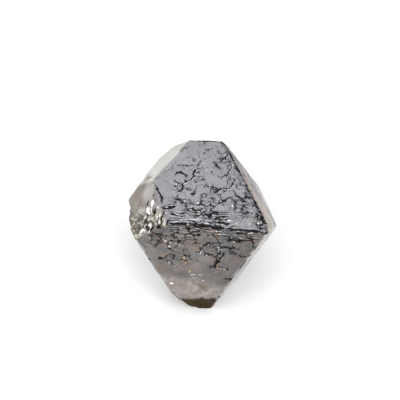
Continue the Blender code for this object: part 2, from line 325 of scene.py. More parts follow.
# Three directions 60 degrees apart, one to a column, and the length of the tables of random numbers.
THREE_WAYS = ((1.0, 0.5, -0.5), (0.0, 0.866, 0.866))
TABLE_SIZE = 1024
Face = namedtuple("Face", "name normal along up distance")

# Noises of the stone's material, as features to the millimetre and detail: cloud, patch, fleck, grain, dust.
SPECKLES = ((0.7, 3.0), (1.4, 4.0), (4.0, 3.0), (9.0, 3.0), (26.0, 2.0))
BUMP_HEIGHT = 0.012 * MM
CUT_SHARPNESS = 14

# The studio, in m: softboxes with their places and widths, how far the floor lies under the stone, and how
# far the camera sees.
REAR_SOFTBOX = ("rear_softbox", (-0.02, 0.12, 0.19), 0.16)
SIDE_SOFTBOXES = (
    ("left_softbox", (-0.2, -0.1, 0.33), 0.26),
    ("right_softbox", (0.2, -0.12, 0.33), 0.26),
)
FLOOR_DROP = 1e-5
FARTHEST_SEEN = 100.0

# Heights between which the surroundings are dimmer, from 0 at the horizon to 1 straight above.
PALE_BELOW, DIM_FROM, DIM_TO, PALE_ABOVE = 0.22, 0.34, 0.62, 0.8


def unit(azimuth, elevation):
    """Unit vector at an azimuth round the long axis and an elevation above the girdle, in degrees."""
    around, above = math.radians(azimuth), math.radians(elevation)
    return np.array([math.cos(above) * math.cos(around), math.cos(above) * math.sin(around), math.sin(above)])


def rest_turn():
    """Rows of the rotation from the crystal's own frame to the world, where the resting face looks down."""
    up = -unit(*FACES[RESTING][:2])
    right = np.array([1.0, 0.0, 0.0])
    back = np.cross(up, right)
    return np.array([right, back / np.linalg.norm(back), up])


def crystal_faces():
    """The centre and the faces in world axes, in mm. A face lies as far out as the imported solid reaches
    along its normal, and the centre is the point whose distances to the faces fit the table best."""
    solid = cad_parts[NODE].data
    points = np.empty(len(solid.vertices) * 3)
    solid.vertices.foreach_get("co", points)
    table = {**FACES, **BREAKS}
    turn = rest_turn()
    normals = np.array([unit(azimuth, elevation) for azimuth, elevation, _ in table.values()]) @ turn.T
    reach = (points.reshape(-1, 3) / MM @ normals.T).max(axis=0)
    centre = np.linalg.lstsq(normals, reach - [row[2] for row in table.values()], rcond=None)[0]
    faces = []
    for name, normal, distance in zip(table, normals, reach - normals @ centre):
        along = np.cross(turn[:, 2], normal)
        along /= np.linalg.norm(along)
        faces.append(Face(name, normal, along, np.cross(normal, along), distance))
    return centre, faces


def closed_grid(steps):
    """Directions over a whole sphere, from one square grid of two parameters x and y from -1 to 1.

    The square is an unfolded octahedron: z = 1 - |x| - |y|. Its middle is the top point, the rhombus
    |x| + |y| = 1 is the girdle, and where z is negative x becomes sign(x) (1 - |y|) and y sign(y) (1 - |x|),
    which folds the four corners down to the bottom point. Border points that the fold brings together become
    one.
    """
    count = 2 * steps + 1
    row, column = np.meshgrid(np.arange(count), np.arange(count), indexing="ij")
    x, y = column / steps - 1, row / steps - 1
    z = 1 - np.abs(x) - np.abs(y)
    side_x, side_y = np.where(x < 0, -1, 1), np.where(y < 0, -1, 1)
    folded_x = np.where(z < 0, side_x * (1 - np.abs(y)), x)
    folded_y = np.where(z < 0, side_y * (1 - np.abs(x)), y)
    directions = np.stack([folded_x, folded_y, z], axis=-1).reshape(-1, 3)

    last = count - 1
    column = np.where((row == 0) | (row == last), np.minimum(column, last - column), column)
    row = np.where((column == 0) | (column == last), np.minimum(row, last - row), row)
    number = row * count + column
    a, b, c, d = number[:-1, :-1], number[:-1, 1:], number[1:, 1:], number[1:, :-1]
    rising = (side_x * side_y)[:-1, :-1] < 0
    first = np.where(rising[..., None], np.stack([a, b, c], -1), np.stack([a, b, d], -1))
    second = np.where(rising[..., None], np.stack([a, c, d], -1), np.stack([b, c, d], -1))
    used, faces = np.unique(np.concatenate([first, second]).reshape(-1, 3), return_inverse=True)
    return directions[used], faces.reshape(-1, 3)


def ease(share):
    """0 below 0, 1 above 1, and a smooth S between them."""
    share = np.clip(share, 0, 1)
    return share * share * (3 - 2 * share)


def noise(points, seed):
    """Smooth noise from -1 to 1 in any number of dimensions: a random height at each whole-number place,
    eased from corner to corner."""
    draw = np.random.default_rng(seed)
    heights = draw.uniform(-1, 1, TABLE_SIZE)
    shuffle = draw.permutation(TABLE_SIZE)
    low = np.floor(points).astype(int)
    share = ease(points - low)
    total = np.zeros(len(points))
    for corner in itertools.product((0, 1), repeat=points.shape[1]):
        place = np.zeros(len(points), dtype=int)
        weight = np.ones(len(points))
        for axis, offset in enumerate(corner):
            place = shuffle[(place + low[:, axis] + offset) % TABLE_SIZE]
            weight = weight * (share[:, axis] if offset else 1 - share[:, axis])
        total += heights[place] * weight
    return total


def rough(points, seed, octaves=3):
    """Noise with finer noise on it: each octave has twice the frequency and half the height of the last."""
    parts = [noise(points * 2**octave, seed + octave) / 2**octave for octave in range(octaves)]
    return np.sum(parts, axis=0)


def shaken(flat, amount, scale, seeds):
    """Places moved by up to an amount each way, by noise of a scale with one seed for each way."""
    return flat + amount * np.stack([noise(flat * scale, seed) for seed in seeds], axis=1)


def centres_around(place, scatter, shuffle):
    """Each square of a grid has a random centre. Gives, for each of the nine squares round every place, the
    number of its centre in the table and the offset from it."""
    home = np.floor(place).astype(int)
    for step in itertools.product((-1, 0, 1), repeat=2):
        near = home + step
        pick = shuffle[(shuffle[near[:, 0] % TABLE_SIZE] + near[:, 1]) % TABLE_SIZE]
        yield pick, place - near - scatter[pick]


def mosaic(flat, size, seed):
    """Cells of three-way habit round scattered centres. A place belongs to the centre that is nearest by the
    largest of its offsets along three directions 60 degrees apart. Gives each place its cell's three random
    traits, its offset from the centre, and its distance from the cell's border."""
    draw = np.random.default_rng(seed)
    scatter = draw.uniform(0.1, 0.9, (TABLE_SIZE, 2))
    traits = draw.uniform(0, 1, (TABLE_SIZE, 3))
    shuffle = draw.permutation(TABLE_SIZE)
    nearest = np.full(len(flat), np.inf)
    second = np.full(len(flat), np.inf)
    cell = np.zeros(len(flat), dtype=int)
    offset = np.zeros((len(flat), 2))
    for pick, gap in centres_around(flat / size, scatter, shuffle):
        away = np.abs(gap @ np.array(THREE_WAYS)).max(axis=1)
        closer = away < nearest
        second = np.where(closer, nearest, np.minimum(second, away))
        nearest = np.minimum(nearest, away)
        cell = np.where(closer, pick, cell)
        offset = np.where(closer[:, None], gap, offset)
    return traits[cell], offset * size, (second - nearest) * size / 2


def lean(offset, traits):
    """How deep each cell lies at an offset from its centre, as each one slopes its own random way."""
    return (offset * (traits[:, 1:] - 0.5)).sum(axis=1)


def spot_distance(flat, spot, stretch=(1, 1)):
    """Distance in mm from each place to one spot, with each axis stretched."""
    return np.linalg.norm((flat - spot) * stretch, axis=1)


def line_distance(flat, points):
    """Distance in mm from each place to a line through points."""
    nearest = np.full(len(flat), np.inf)
    for start, end in zip(np.array(points[:-1]), np.array(points[1:])):
        run = end - start
        share = np.clip((flat - start) @ run / (run @ run), 0, 1)
        nearest = np.minimum(nearest, np.linalg.norm(flat - start - share[:, None] * run, axis=1))
    return nearest


def field(away, half):
    """How near a line is: 0.5 on its side, more inside it, and less outside it, down to 0 at LINE_REACH."""
    return 0.5 - (away - half) / (2 * LINE_REACH)


def inner_field(border, margin):
    """How far inside a cell a place is: 0.5 where its border is a margin away, and more further in."""
    return 0.5 + (border - margin) / (2 * LINE_REACH)


def raise_mask(masks, name, value):
    """Keeps the higher of a mask and a value."""
    masks[name] = np.maximum(masks[name], value)


def etched_lines(face, flat, masks):
    """Grooves along the listed lines, with a wavering width and broken pale glints beside them. Gives the
    depth, and the distance to the closest line."""
    depth = np.zeros(len(flat))
    nearest = np.full(len(flat), np.inf)
    jagged = shaken(flat, 0.03, 7, (31, 34))
    waver = 0.006 * noise(flat * 14, 35)
    width = 1 + 0.4 * noise(flat * 4, 32)
    gone = ease(0.45 - 3 * noise(flat * 4, 33))
    for half, *points in ETCHED.get(face.name, ()):
        away = line_distance(jagged, points) + waver
        nearest = np.minimum(nearest, away)
        depth = np.maximum(depth, ease((0.012 + half - away) / 0.036) * (0.008 + 0.45 * half))
        # The groove is real relief; its dark line is painted shade, and the glint beside it a painted
        # highlight.
        raise_mask(masks, "lines", field(away, half * width))
        beside = line_distance(jagged - GLINT_SHIFT, points) + waver
        raise_mask(masks, "glints", field(beside, 0.6 * half) - gone)
    return depth, nearest


def pits(face, flat, masks):
    """Round pits with a dark rim of painted shade and a painted glint inside, and three-sided pits with a
    flat floor and a dark outline of painted shade.
    """
    depth = np.zeros(len(flat))
    for x, y, radius, deep in PITS.get(face.name, ()):
        away = spot_distance(flat, (x, y)) / radius
        depth = np.maximum(depth, deep * ease(1.4 - 1.2 * away))
        raise_mask(masks, "lines", field(np.abs(away - 0.7) * radius, 0.02))
        lit = np.linalg.norm(flat - (x, y) - GLINT_SHIFT, axis=1)
        raise_mask(masks, "glints", field(lit, 0.15 * radius))
    for x, y, side, deep in TRIGONS.get(face.name, ()):
        inner = side / math.sqrt(12)
        away = ((flat - (x, y)) @ trigon_walls(face)).max(axis=1)
        depth = np.maximum(depth, deep * ease(2.4 * (1.08 - away / inner)))
        raise_mask(masks, "lines", field(np.abs(away - 0.9 * inner), 0.012))
    return depth


def trigon_walls(face):
    """Directions of an etch pit's three walls. Pits point down on upper faces and up on lower ones."""
    turn = 0 if face.normal @ rest_turn()[:, 2] > 0 else 180
    angles = np.radians(np.array([90, 210, 330]) + turn)
    return np.stack([np.cos(angles), np.sin(angles)])


def small_trigons(face, flat, side, pitch, share, masks):
    """Small etch pits strewn over a face: one place in each square of a grid, of which a share holds a pit of
    random size. Within a pit the largest of the offsets towards its three walls is under its inner radius.
    None lies near the sides of the face."""
    draw = np.random.default_rng(91 + len(face.name))
    scatter = draw.uniform(0.2, 0.8, (TABLE_SIZE, 2))
    sizes = draw.uniform(0.08, 0.26, TABLE_SIZE) * (draw.uniform(0, 1, TABLE_SIZE) < share)
    shuffle = draw.permutation(TABLE_SIZE)
    depth = np.zeros(len(flat))
    walls = trigon_walls(face)
    for pick, gap in centres_around(flat / pitch, scatter, shuffle):
        away = (gap @ walls).max(axis=1) * pitch
        inner = sizes[pick] * pitch * ease((side - 0.15) / 0.3)
        depth = np.maximum(depth, 0.3 * inner * ease((inner - away) / 0.02))
        # Dark outline of painted shade round each larger pit.
        raise_mask(masks, "lines", np.where(inner > 0.03, field(np.abs(away - inner), 0.006), 0))
    return depth


def stairs(distance, pitch, count, riser=0.35):
    """Steps down towards an edge. Gives how many steps lie between a place and the open face, and the
    distances in mm to the closest riser and to the middle of the closest tread."""
    level = np.clip(count - distance / pitch, 0, count)
    share = level - np.floor(level)
    from_riser = np.minimum(np.abs(share - riser / 2), np.abs(share - 1 - riser / 2)) * pitch
    from_tread = np.abs(share - (1 + riser) / 2) * pitch
    flat_part = (level <= 0) | (level >= count)
    away = np.where(flat_part, LINE_REACH, from_riser), np.where(flat_part, LINE_REACH, from_tread)
    return np.floor(level) + ease(share / riser), *away


def ledges(face, flat, rims, masks):
    """Growth ledges that step down to the sides of a face, wide and crowded along the front edge. Their
    risers are dark broken lines of painted shade, and parts of their treads carry painted glints."""
    depth = np.zeros(len(flat))
    long_waver = noise(flat * (0.8, 1.5), 41)
    short_waver = noise(flat * (3.1, 5.3), 42)
    for number, (name, away) in enumerate(rims.items()):
        if (face.name, name) in LEDGES:
            pitch, count, rise, sway = LEDGES[face.name, name]
            start = away + sway * (long_waver + 0.35 * short_waver)
            if name == "upper_right":
                start += 0.1 * ease(flat[:, 1] + 0.8)
            whole = 0.35
        elif name in FACES and face.name not in ("upper_front", "lower_front"):
            pitch, count, rise, sway = OTHER_LEDGES
            start = away + sway * noise(flat * 0.8 + number * 7.3, 43) + 0.08 * short_waver + 0.1
            whole = -0.1
        else:
            continue
        steps, from_riser, from_tread = stairs(start, pitch, count)
        depth += steps * rise
        gone = ease(0.5 - 2.5 * (noise(flat * (3.2, 6.1) + number, 44) + whole))
        raise_mask(masks, "lines", field(from_riser, 0.16 * pitch * (1 + 0.6 * noise(flat * 4, 45))) - gone)
        gone = ease(0.5 - 3 * (noise(flat * (3.6, 8.1) + number, 46) - 0.05))
        raise_mask(masks, "glints", field(from_tread, 0.09 * pitch) - gone)
    return depth


def dark_edges(face, flat, rims, masks):
    """Dark, broken lines of painted shade along the sides of a face."""
    width = 1 + 0.8 * noise(flat * 3.2, 47)
    gone = ease(-1.2 - 3 * noise(flat * 2.4, 48))
    for name, away in rims.items():
        half = EDGE_LINES.get(frozenset((face.name, name)), 0)
        if half:
            raise_mask(masks, "lines", field(np.abs(away), half * width) - gone)


def crowding(face, flat, rims, nearest):
    """How crowded the fine etching is, from 0 to 1: most beside the etched lines, near the sides and in the
    places of the crowded table, and in drifting patches on the faces that have no such table."""
    if face.name in CROWDED:
        total = 0.55 * np.exp(-((nearest / 0.13) ** 2))
        for x, y, radius, amount in CROWDED[face.name]:
            total += amount * np.exp(-((spot_distance(flat, (x, y)) / radius) ** 2))
    else:
        total = 0.5 * noise(flat * 0.9 + len(face.name), 57)
    side = np.min(list(rims.values()), axis=0)
    smooth = SKINS.get(face.name, HIDDEN_SKIN).smooth
    return np.clip(total + 0.4 * np.exp(-side / 0.2), 0, 1) * (1 - smooth)


def fine_etching(flat, crowded, sparkle, masks):
    """A fine network of little three-way cells where the etching is crowded: most borders are dark with
    painted shade, a share of the smallest cells carry painted glints, and each cell leans its own way. The
    widest cells show between the crowds too."""
    depth = np.zeros(len(flat))
    for size, half, spread, slope in NETWORKS:
        seed = round(size * 100)
        warped = shaken(flat, 0.045, 8, (seed, seed + 5))
        traits, offset, border = mosaic(warped * (0.8, 1.25), size, seed)
        kept = ease((crowded + spread + 0.5 * noise(flat * (2.6, 3.6), seed + 9) - 0.5) / 0.1)
        if half:
            raise_mask(masks, "lines", field(border, half) + kept - 1)
        else:
            bright = (traits[:, 0] > 1 - sparkle) * ease((crowded - 0.3) / 0.3)
            raise_mask(masks, "glints", inner_field(border, 0.024) * bright)
        depth += kept * (0.03 * size * traits[:, 0] + lean(offset, traits) * slope)
    return depth


def growth_face(face, flat, rims, masks):
    """A flat growth face: low terraces in a mosaic of cells, ledges along its sides, etched lines and
    pits."""
    traits, offset, _ = mosaic(shaken(flat, 0.06, 4, (51, 52)), 0.42, 50 + len(face.name))
    terraces = np.floor(traits[:, 0] * 3) * 0.006
    skin = SKINS.get(face.name, HIDDEN_SKIN)
    depth = terraces + lean(offset, traits) * 0.14 + skin.waves * rough(flat * 2.6, 55)
    depth = np.maximum(depth + ledges(face, flat, rims, masks), 0)
    grooves, nearest = etched_lines(face, flat, masks)
    depth += grooves + pits(face, flat, masks)
    crowded = crowding(face, flat, rims, nearest)
    masks["warm"] = np.full(len(flat), skin.warm)
    masks["smooth"] = np.full(len(flat), skin.smooth)
    masks["milky"] = skin.milky * (1 + 0.4 * noise(flat * 1.2, 56))
    masks["pale"] = skin.pale * (0.9 + 0.5 * noise(flat * (1.6, 0.8), 58))
    if face.name == "upper_front":
        masks["tone"] = traits[:, 1]
    elif face.name == "lower_front":
        lower_marks(flat, masks)
        crowded *= 1 - masks["frosted"]
    elif face.name in ("upper_right", "lower_right"):
        side_streaks(face, flat, rims, masks)
    else:
        side = np.min(list(rims.values()), axis=0)
        masks["tone"] = 0.4 + 0.5 * traits[:, 1]
        depth += small_trigons(face, flat, side, 0.55, 0.6, masks)
        depth += small_trigons(face, flat, side, 1.1, 0.4, masks)
    dark_edges(face, flat, rims, masks)
    sparkle = SPARKLE.get(face.name, OTHER_SPARKLE)
    return np.maximum(depth + fine_etching(flat, crowded, sparkle, masks), 0)


def lower_marks(flat, masks):
    """Marks of the lower front face: slanting brown and blue grey strokes, warm glints, and frost towards the
    tip with white flecks and one streak of painted highlight."""
    slant = math.radians(35)
    strokes = flat @ np.array([[math.cos(slant), -math.sin(slant)], [math.sin(slant), math.cos(slant)]])
    masks["tone"] = 0.5 + 0.5 * rough(strokes * (1.3, 4.6), 53, octaves=2)
    masks["frosted"] = ease((FROST_TOP - flat[:, 1] + 0.3 * noise(flat * 1.3, 59)) / 0.9)
    for x, y, radius in WARM_GLINTS:
        away = spot_distance(flat, (x, y), (1, 0.8)) + 0.05 * noise(flat * 9, 60)
        raise_mask(masks, "glints", field(away, 0.7 * radius) - 0.1)
        raise_mask(masks, "tan", ease(1.5 - away / 0.2))
    for x, y, radius in FROST_GLINTS:
        away = spot_distance(flat, (x, y), (0.6, 1)) + 0.03 * noise(flat * 12, 54)
        raise_mask(masks, "glints", field(away, 0.5 * radius))
    streak = line_distance(flat, FROST_GLINT_STREAK) + 0.02 * noise(flat * 12, 54)
    raise_mask(masks, "glints", field(streak, 0.012))


def side_streaks(face, flat, rims, masks):
    """Soft streaks along the front edge of a side face. The upper one is browner and milkier beside that edge
    and paler further in."""
    across = rims["upper_front" if face.name == "upper_right" else "lower_front"]
    streaks = rough(np.stack([across * 1.6, flat[:, 1] * 0.35], axis=1), 83, octaves=2)
    if face.name == "lower_right":
        masks["tone"] = 0.75 + 0.4 * streaks
    else:
        masks["tone"] = 0.1 + 0.9 * streaks
        masks["pale"] = ease(0.16 * across - 0.12 * flat[:, 1] + 0.5 * streaks)
        masks["milky"] = 0.9 * ease(1.4 - 0.45 * across + 0.6 * streaks)
        masks["tan"] = ease(0.5 + 0.5 * streaks - 0.1 * across)


def brown_spot(face, flat, masks):
    """The ragged brown spot where the shoulder and the broken corner meet."""
    away = spot_distance(flat, BROWN_SPOTS[face.name], (1.0, 0.8)) / BROWN_RADIUS
    spot = ease(0.8 - 0.6 * away + 0.5 * noise(flat * (5, 3), 77) + 0.3 * noise(flat * (12, 6), 78))
    raise_mask(masks, "tan", spot)
    raise_mask(masks, "milky", 0.9 * spot)
    masks["warm"] = spot


def left_break(face, flat, rims, masks):
    """The broken left corner: a rippled, nearly clear bevel above, and shell-like steps under jagged little
    facets below."""
    x, y = flat.T
    hackly = ease(BREAK_ROUGH_TOP - y + 0.5 * rough(flat * 1.8, 61) + 0.25 * (x + 1) + 0.2)
    stretched = flat * (1.5, 0.8) + 0.08 * noise(flat * 5, 62)[:, None]
    traits, offset, border = mosaic(stretched, 0.3, 63)
    small, small_offset, small_border = mosaic(stretched, 0.14, 64)
    jag = lean(offset, traits) * 0.7 + 0.04 * traits[:, 0]
    jag += lean(small_offset, small) * 0.6
    ripple = 0.035 * rough(flat * (3.4, 1.1), 65)
    away = flat - SHELL_CENTRE
    distance = np.linalg.norm(away, axis=1) + 0.12 * noise(flat * 3, 66)
    shells = np.interp(distance, SHELL_DISTANCES, SHELL_DEPTHS) * ease((0.4 - away[:, 1]) / 0.6)
    outer = ease(1.2 - (x + 1.75 + 0.3 * y + 0.15 * noise(flat * 2, 60)) / 0.6)
    masks["broken"] = hackly
    masks["pale"] = (1 - hackly) * ease(0.75 + 0.4 * noise(flat * (3, 1), 79))
    masks["smooth"] = 1 - hackly
    masks["milky"] = 0.35 + 0.1 * hackly
    masks["tan"] = (1 - hackly) * np.clip(outer + 0.25 + 0.6 * noise(flat * (4, 1.2), 70), 0, 1)
    brown_spot(face, flat, masks)
    streaked = 0.15 + 0.7 * rough(flat * (3.4, 0.9), 67, octaves=2)
    masks["tone"] = hackly * (0.6 * traits[:, 0] + 0.4 * small[:, 0] - 0.06) + (1 - hackly) * streaked
    streaks = noise(flat * (10, 2.4), 68) + 0.6 * noise(flat * (18, 5), 69)
    plain = ease(1 - (x + 1.4) / 0.3)
    # Dark lines of painted shade on facet borders and streaks, and painted glints on small facets and bright
    # streaks.
    raise_mask(masks, "lines", field(border, 0.022) + (traits[:, 1] > 0.5) * hackly - 1)
    raise_mask(masks, "lines", 0.5 - (streaks + 0.4) * 0.5 - plain)
    raise_mask(masks, "glints", inner_field(small_border, 0.015) * (small[:, 0] > 0.87) * hackly)
    raise_mask(masks, "glints", 0.5 + (streaks - 0.6) * 0.5 - plain)
    return np.maximum(0.05 + hackly * (jag + shells) + (1 - hackly) * ripple, 0)


def hackly_break(face, flat, rims, masks):
    """A rough fracture of jagged little facets."""
    traits, offset, border = mosaic(flat + 0.1 * noise(flat * 5, 61)[:, None], 0.26, 60)
    depth = 0.05 + 0.05 * traits[:, 0] + lean(offset, traits) * 0.7
    masks["broken"] = np.ones(len(flat))
    masks["milky"] = np.full(len(flat), 0.15)
    masks["tone"] = 0.3 + 0.2 * traits[:, 0] + 0.3 * rough(flat * (1.5, 2.5), 63)
    # Dark lines of painted shade on the borders of some facets.
    raise_mask(masks, "lines", field(border, 0.015) + (traits[:, 1] > 0.6) - 1)
    return np.maximum(depth + 0.05 * rough(flat * 2.2, 62), 0)


def smooth_bevel(face, flat, rims, masks):
    """A smooth, slightly dimpled bevel of pale stone."""
    pale, milky = BEVELS[face.name]
    masks["pale"] = np.full(len(flat), pale)
    masks["smooth"] = np.ones(len(flat))
    masks["milky"] = np.full(len(flat), milky)
    masks["tone"] = 0.5 + 0.6 * noise(flat * (2.4, 0.9), 75) - 0.6 * ease((flat[:, 1] - 1.0) / 1.2)
    if face.name in BROWN_SPOTS:
        brown_spot(face, flat, masks)
    return 0.03 + 0.02 * rough(flat * (2.2, 0.9), 76)


def tip_break(face, flat, rims, masks):
    """The dark curved break at the bottom tip: a brown stain darkened with painted shade."""
    masks["stained"] = np.ones(len(flat))
    masks["tone"] = 0.5 + 0.5 * noise(flat * 3, 81)
    return np.maximum(0.03 + 0.03 * rough(flat * 3.5, 82), 0)


RELIEFS = {
    "left_shoulder": smooth_bevel,
    "left_break": left_break,
    "left_end": hackly_break,
    "right_corner": smooth_bevel,
    "tip_break": tip_break,
    "tip_side": tip_break,
    "tip_nick": tip_break,
}


def crystal_surface(steps, rounding):
    """Vertices in mm, faces and masks of the whole stone.

    A ray d meets plane i at t = (D - h) / (n . d), with D the plane's distance from the centre and h its own
    relief there. The surface is the soft minimum of these, -k log(sum of exp(-t / k)), which rounds each edge
    by about k. The shares exp(-t / k) also blend the masks of the faces that meet.
    """
    centre, faces = crystal_faces()
    directions, triangles = closed_grid(steps)
    turn = rest_turn()
    cos, sin = math.cos(math.radians(GRID_CORNER)), math.sin(math.radians(GRID_CORNER))
    spin = np.array([[cos, -sin, 0], [sin, cos, 0], [0, 0, 1]])
    directions = directions @ (turn @ spin).T
    start = turn @ RAY_START
    normals = np.array([face.normal for face in faces])
    distances = np.array([face.distance for face in faces]) - normals @ start
    facing = directions @ normals.T
    reach = np.where(facing > LEAST_FACING, distances / np.maximum(facing, LEAST_FACING), np.inf)
    nearest = reach.min(axis=1)
    masks = {name: np.zeros(reach.shape) for name in MASKS}
    length = np.linalg.norm(directions, axis=1)
    for i, face in enumerate(faces):
        near = np.flatnonzero((reach[:, i] - nearest) * length < RELIEF_OVERLAP)
        place = directions[near] * reach[near, i, None]
        flat = np.stack([(place + start) @ face.along, (place + start) @ face.up], axis=1)
        others = [j for j in range(len(faces)) if j != i]
        slope = np.linalg.norm(np.cross(normals[others], face.normal), axis=1)
        gaps = (distances[others] - place @ normals[others].T) / slope
        rims = {faces[j].name: gaps[:, k] for k, j in enumerate(others)}
        own = {name: np.zeros(len(near)) for name in MASKS}
        depth = RELIEFS.get(face.name, growth_face)(face, flat, rims, own)
        if face.name == RESTING:
            depth = np.maximum(depth - REST_DEPTH, 0)
        reach[near, i] -= depth / facing[near, i]
        for name in MASKS:
            masks[name][near, i] = own[name]
    reach = np.maximum(reach, LEAST_REACH * nearest[:, None])
    lowest = reach.min(axis=1)
    shares = np.exp(-(reach - lowest[:, None]) * length[:, None] / rounding)
    total = shares.sum(axis=1)
    final = lowest - rounding * np.log(total) / length
    vertices = directions * final[:, None]
    blended = {name: (mask * shares).sum(axis=1) / total for name, mask in masks.items()}
    return centre + start, vertices, triangles, blended


class Flow:
    """A shader socket that takes part in Python arithmetic: each operator adds one Math node."""

    def __init__(self, tree, socket=None):
        self.tree = tree
        self.socket = socket

    def node(self, kind, settings=(), output=0, **sockets):
        """Adds a node of one kind, makes its settings, fills its sockets with values or links, and gives back
        the output asked for. A socket's name has _ for a space, and input_3 is the socket with number 3."""
        made = self.tree.nodes.new(kind)
        for name, value in dict(settings).items():
            if name == "stops":
                self.set_stops(made.color_ramp, value)
            else:
                setattr(made, name, value)
        for name, value in sockets.items():
            key = int(name[6:]) if name.startswith("input_") else name.replace("_", " ")
            if isinstance(value, Flow):
                self.tree.links.new(value.socket, made.inputs[key])
            else:
                made.inputs[key].default_value = value
        return Flow(self.tree, made.outputs[output] if made.outputs else None)

    @staticmethod
    def set_stops(ramp, stops):
        """Gives a colour ramp its stops: pairs of a place and a colour."""
        while len(ramp.elements) < len(stops):
            ramp.elements.new(1.0)
        for element, (place, colour) in zip(ramp.elements, stops):
            element.position = place
            element.color = colour

    def math(self, operation, first, second):
        return self.node("ShaderNodeMath", {"operation": operation}, input_0=first, input_1=second)

    def __add__(self, other):
        return self.math("ADD", self, other)

    def __sub__(self, other):
        return self.math("SUBTRACT", self, other)

    def __rsub__(self, other):
        return self.math("SUBTRACT", other, self)

    def __mul__(self, other):
        return self.math("MULTIPLY", self, other)

    __radd__ = __add__
    __rmul__ = __mul__

    def limited(self):
        """The value kept between 0 and 1."""
        return self.node("ShaderNodeClamp", Value=self)

    def mask(self, name):
        """A mask that the surface carries at its points."""
        return self.node("ShaderNodeAttribute", {"attribute_name": name}, output="Fac")

    def mix(self, first, second, factor):
        """Two colours mixed by a factor: plain colours, or sockets."""
        first, second = (end if isinstance(end, Flow) else opaque(end) for end in (first, second))
        settings = {"data_type": "RGBA"}
        return self.node("ShaderNodeMix", settings, output=2, input_0=factor, input_6=first, input_7=second)

    def speckle(self, place, scale, detail):
        """Noise from 0 to 1, with a scale in features to the millimetre."""
        return self.node("ShaderNodeTexNoise", Vector=place, Scale=scale / MM, Detail=detail)

    def cut(self):
        """A field cut sharply where it is 0.5."""
        return ((self - 0.5) * CUT_SHARPNESS + 0.5).limited()


def opaque(colour):
    """A colour with its alpha of 1."""
    return (*colour, 1.0)


def stone_material(sizes):
    """Grey diamond: clear inside with a little absorption, and etched, frosted and stained on the skin. Each
    mask mixes in its own colour, and the fields of lines and glints are cut at 0.5 after grain has made them
    ragged. The dark lines are painted shade and the glints painted highlights, and the tip and lower face
    carry painted shade beside their own brown."""
    material = bpy.data.materials.new("grey_rough_diamond")
    material.use_nodes = True
    tree = material.node_tree
    tree.nodes.clear()
    flow = Flow(tree)
    place = flow.node("ShaderNodeTexCoord", output="Object")
    mask = {name: flow.mask(name) for name in MASKS}
    cloud, patch, fleck, grain, dust = (flow.speckle(place, scale, detail) for scale, detail in SPECKLES)

    cells = (cloud * 0.9 + mask["tone"] * 0.8 - 0.35).limited()
    tint = flow.mix(sizes.light_colour, sizes.mauve_colour, ((cloud - 0.5) * 4 + 0.5).limited())
    cool = flow.mix(sizes.stone_colour, tint, cells)
    # Lower face colours: a brown and a blue grey, both darkened below the upper face's greys as painted
    # shade.
    hue = ((patch - 0.5) * 2.0 + (fleck - 0.5) * 2.5 + mask["tone"] * 0.9).limited()
    brown = flow.mix(sizes.warm_shaded_colour, sizes.cool_shaded_colour, hue)
    colour = flow.mix(cool, brown, mask["warm"])
    mottled = ((fleck - 0.5) * 3 + 0.25).limited()
    frost = flow.mix(sizes.frost_colour, sizes.fleck_colour, mottled)
    colour = flow.mix(colour, frost, mask["frosted"])
    shading = (mask["tone"] * 0.9 + cloud * 0.3).limited()
    pale = flow.mix(sizes.shade_colour, sizes.pale_colour, shading)
    colour = flow.mix(colour, pale, mask["pale"])
    # Bright and dark facets of the breaks: partly their own cream and olive, partly painted highlight and
    # painted shade.
    bright = ((mask["tone"] - 0.38) * 3.0 + grain - 0.5).limited()
    facets = flow.mix(sizes.olive_colour, sizes.cream_colour, bright)
    colour = flow.mix(colour, facets, mask["broken"])
    tan = flow.mix(sizes.tan_colour, sizes.brown_colour, mask["warm"])
    colour = flow.mix(colour, tan, mask["tan"] * 0.8)

    # Dark lines are painted shade in near black; glints are painted highlights in white, or amber where warm.
    ragged = (grain - 0.5) * 0.08 + (dust - 0.5) * 0.08
    line = (mask["lines"] + ragged).cut()
    glint = (mask["glints"] + ragged).cut()
    cover = (line + glint * 0.85 + mask["stained"] + mask["milky"] + mask["frosted"] * 0.15).limited()
    spark = flow.mix(sizes.glint_colour, sizes.amber_colour, mask["tan"] * mask["warm"])
    paint = flow.mix(colour, spark, glint)
    paint = flow.mix(paint, sizes.etch_shade_colour, line)
    # The broken tip: between near-black painted shade and the brown of its stain.
    brown_share = (mask["tone"] * 0.8 + grain * 0.5).limited()
    brown_tip = flow.mix(sizes.etch_shade_colour, sizes.stain_and_shade_colour, brown_share)
    paint = flow.mix(paint, brown_tip, mask["stained"])

    skin = sizes.roughness + grain * 0.1 * (1 - mask["pale"]) + mask["pale"] * sizes.satin
    skin = (skin + mask["frosted"] * 0.3 + mask["milky"] * 0.1).limited()
    bumps = (grain + dust * 0.4) * (1 - mask["smooth"])
    bump = flow.node("ShaderNodeBump", Strength=0.35, Distance=BUMP_HEIGHT, Height=bumps)
    clear = flow.node(
        "ShaderNodeBsdfPrincipled",
        Base_Color=colour,
        Roughness=skin,
        Normal=bump,
        IOR=sizes.ior,
        Transmission_Weight=sizes.transmission,
    )
    matt = flow.node(
        "ShaderNodeBsdfPrincipled", Base_Color=paint, Roughness=0.5, Specular_IOR_Level=0.06, Normal=bump
    )
    both = flow.node("ShaderNodeMixShader", input_0=cover, input_1=clear, input_2=matt)
    depth = flow.node("ShaderNodeVolumeAbsorption", Color=opaque(sizes.depth_colour), Density=sizes.density)
    flow.node("ShaderNodeOutputMaterial", Surface=both, Volume=depth)
    return material


def swatch(name, description, default):
    """A colour setting."""
    return FloatVectorProperty(name=name, description=description, default=default, subtype="COLOR")


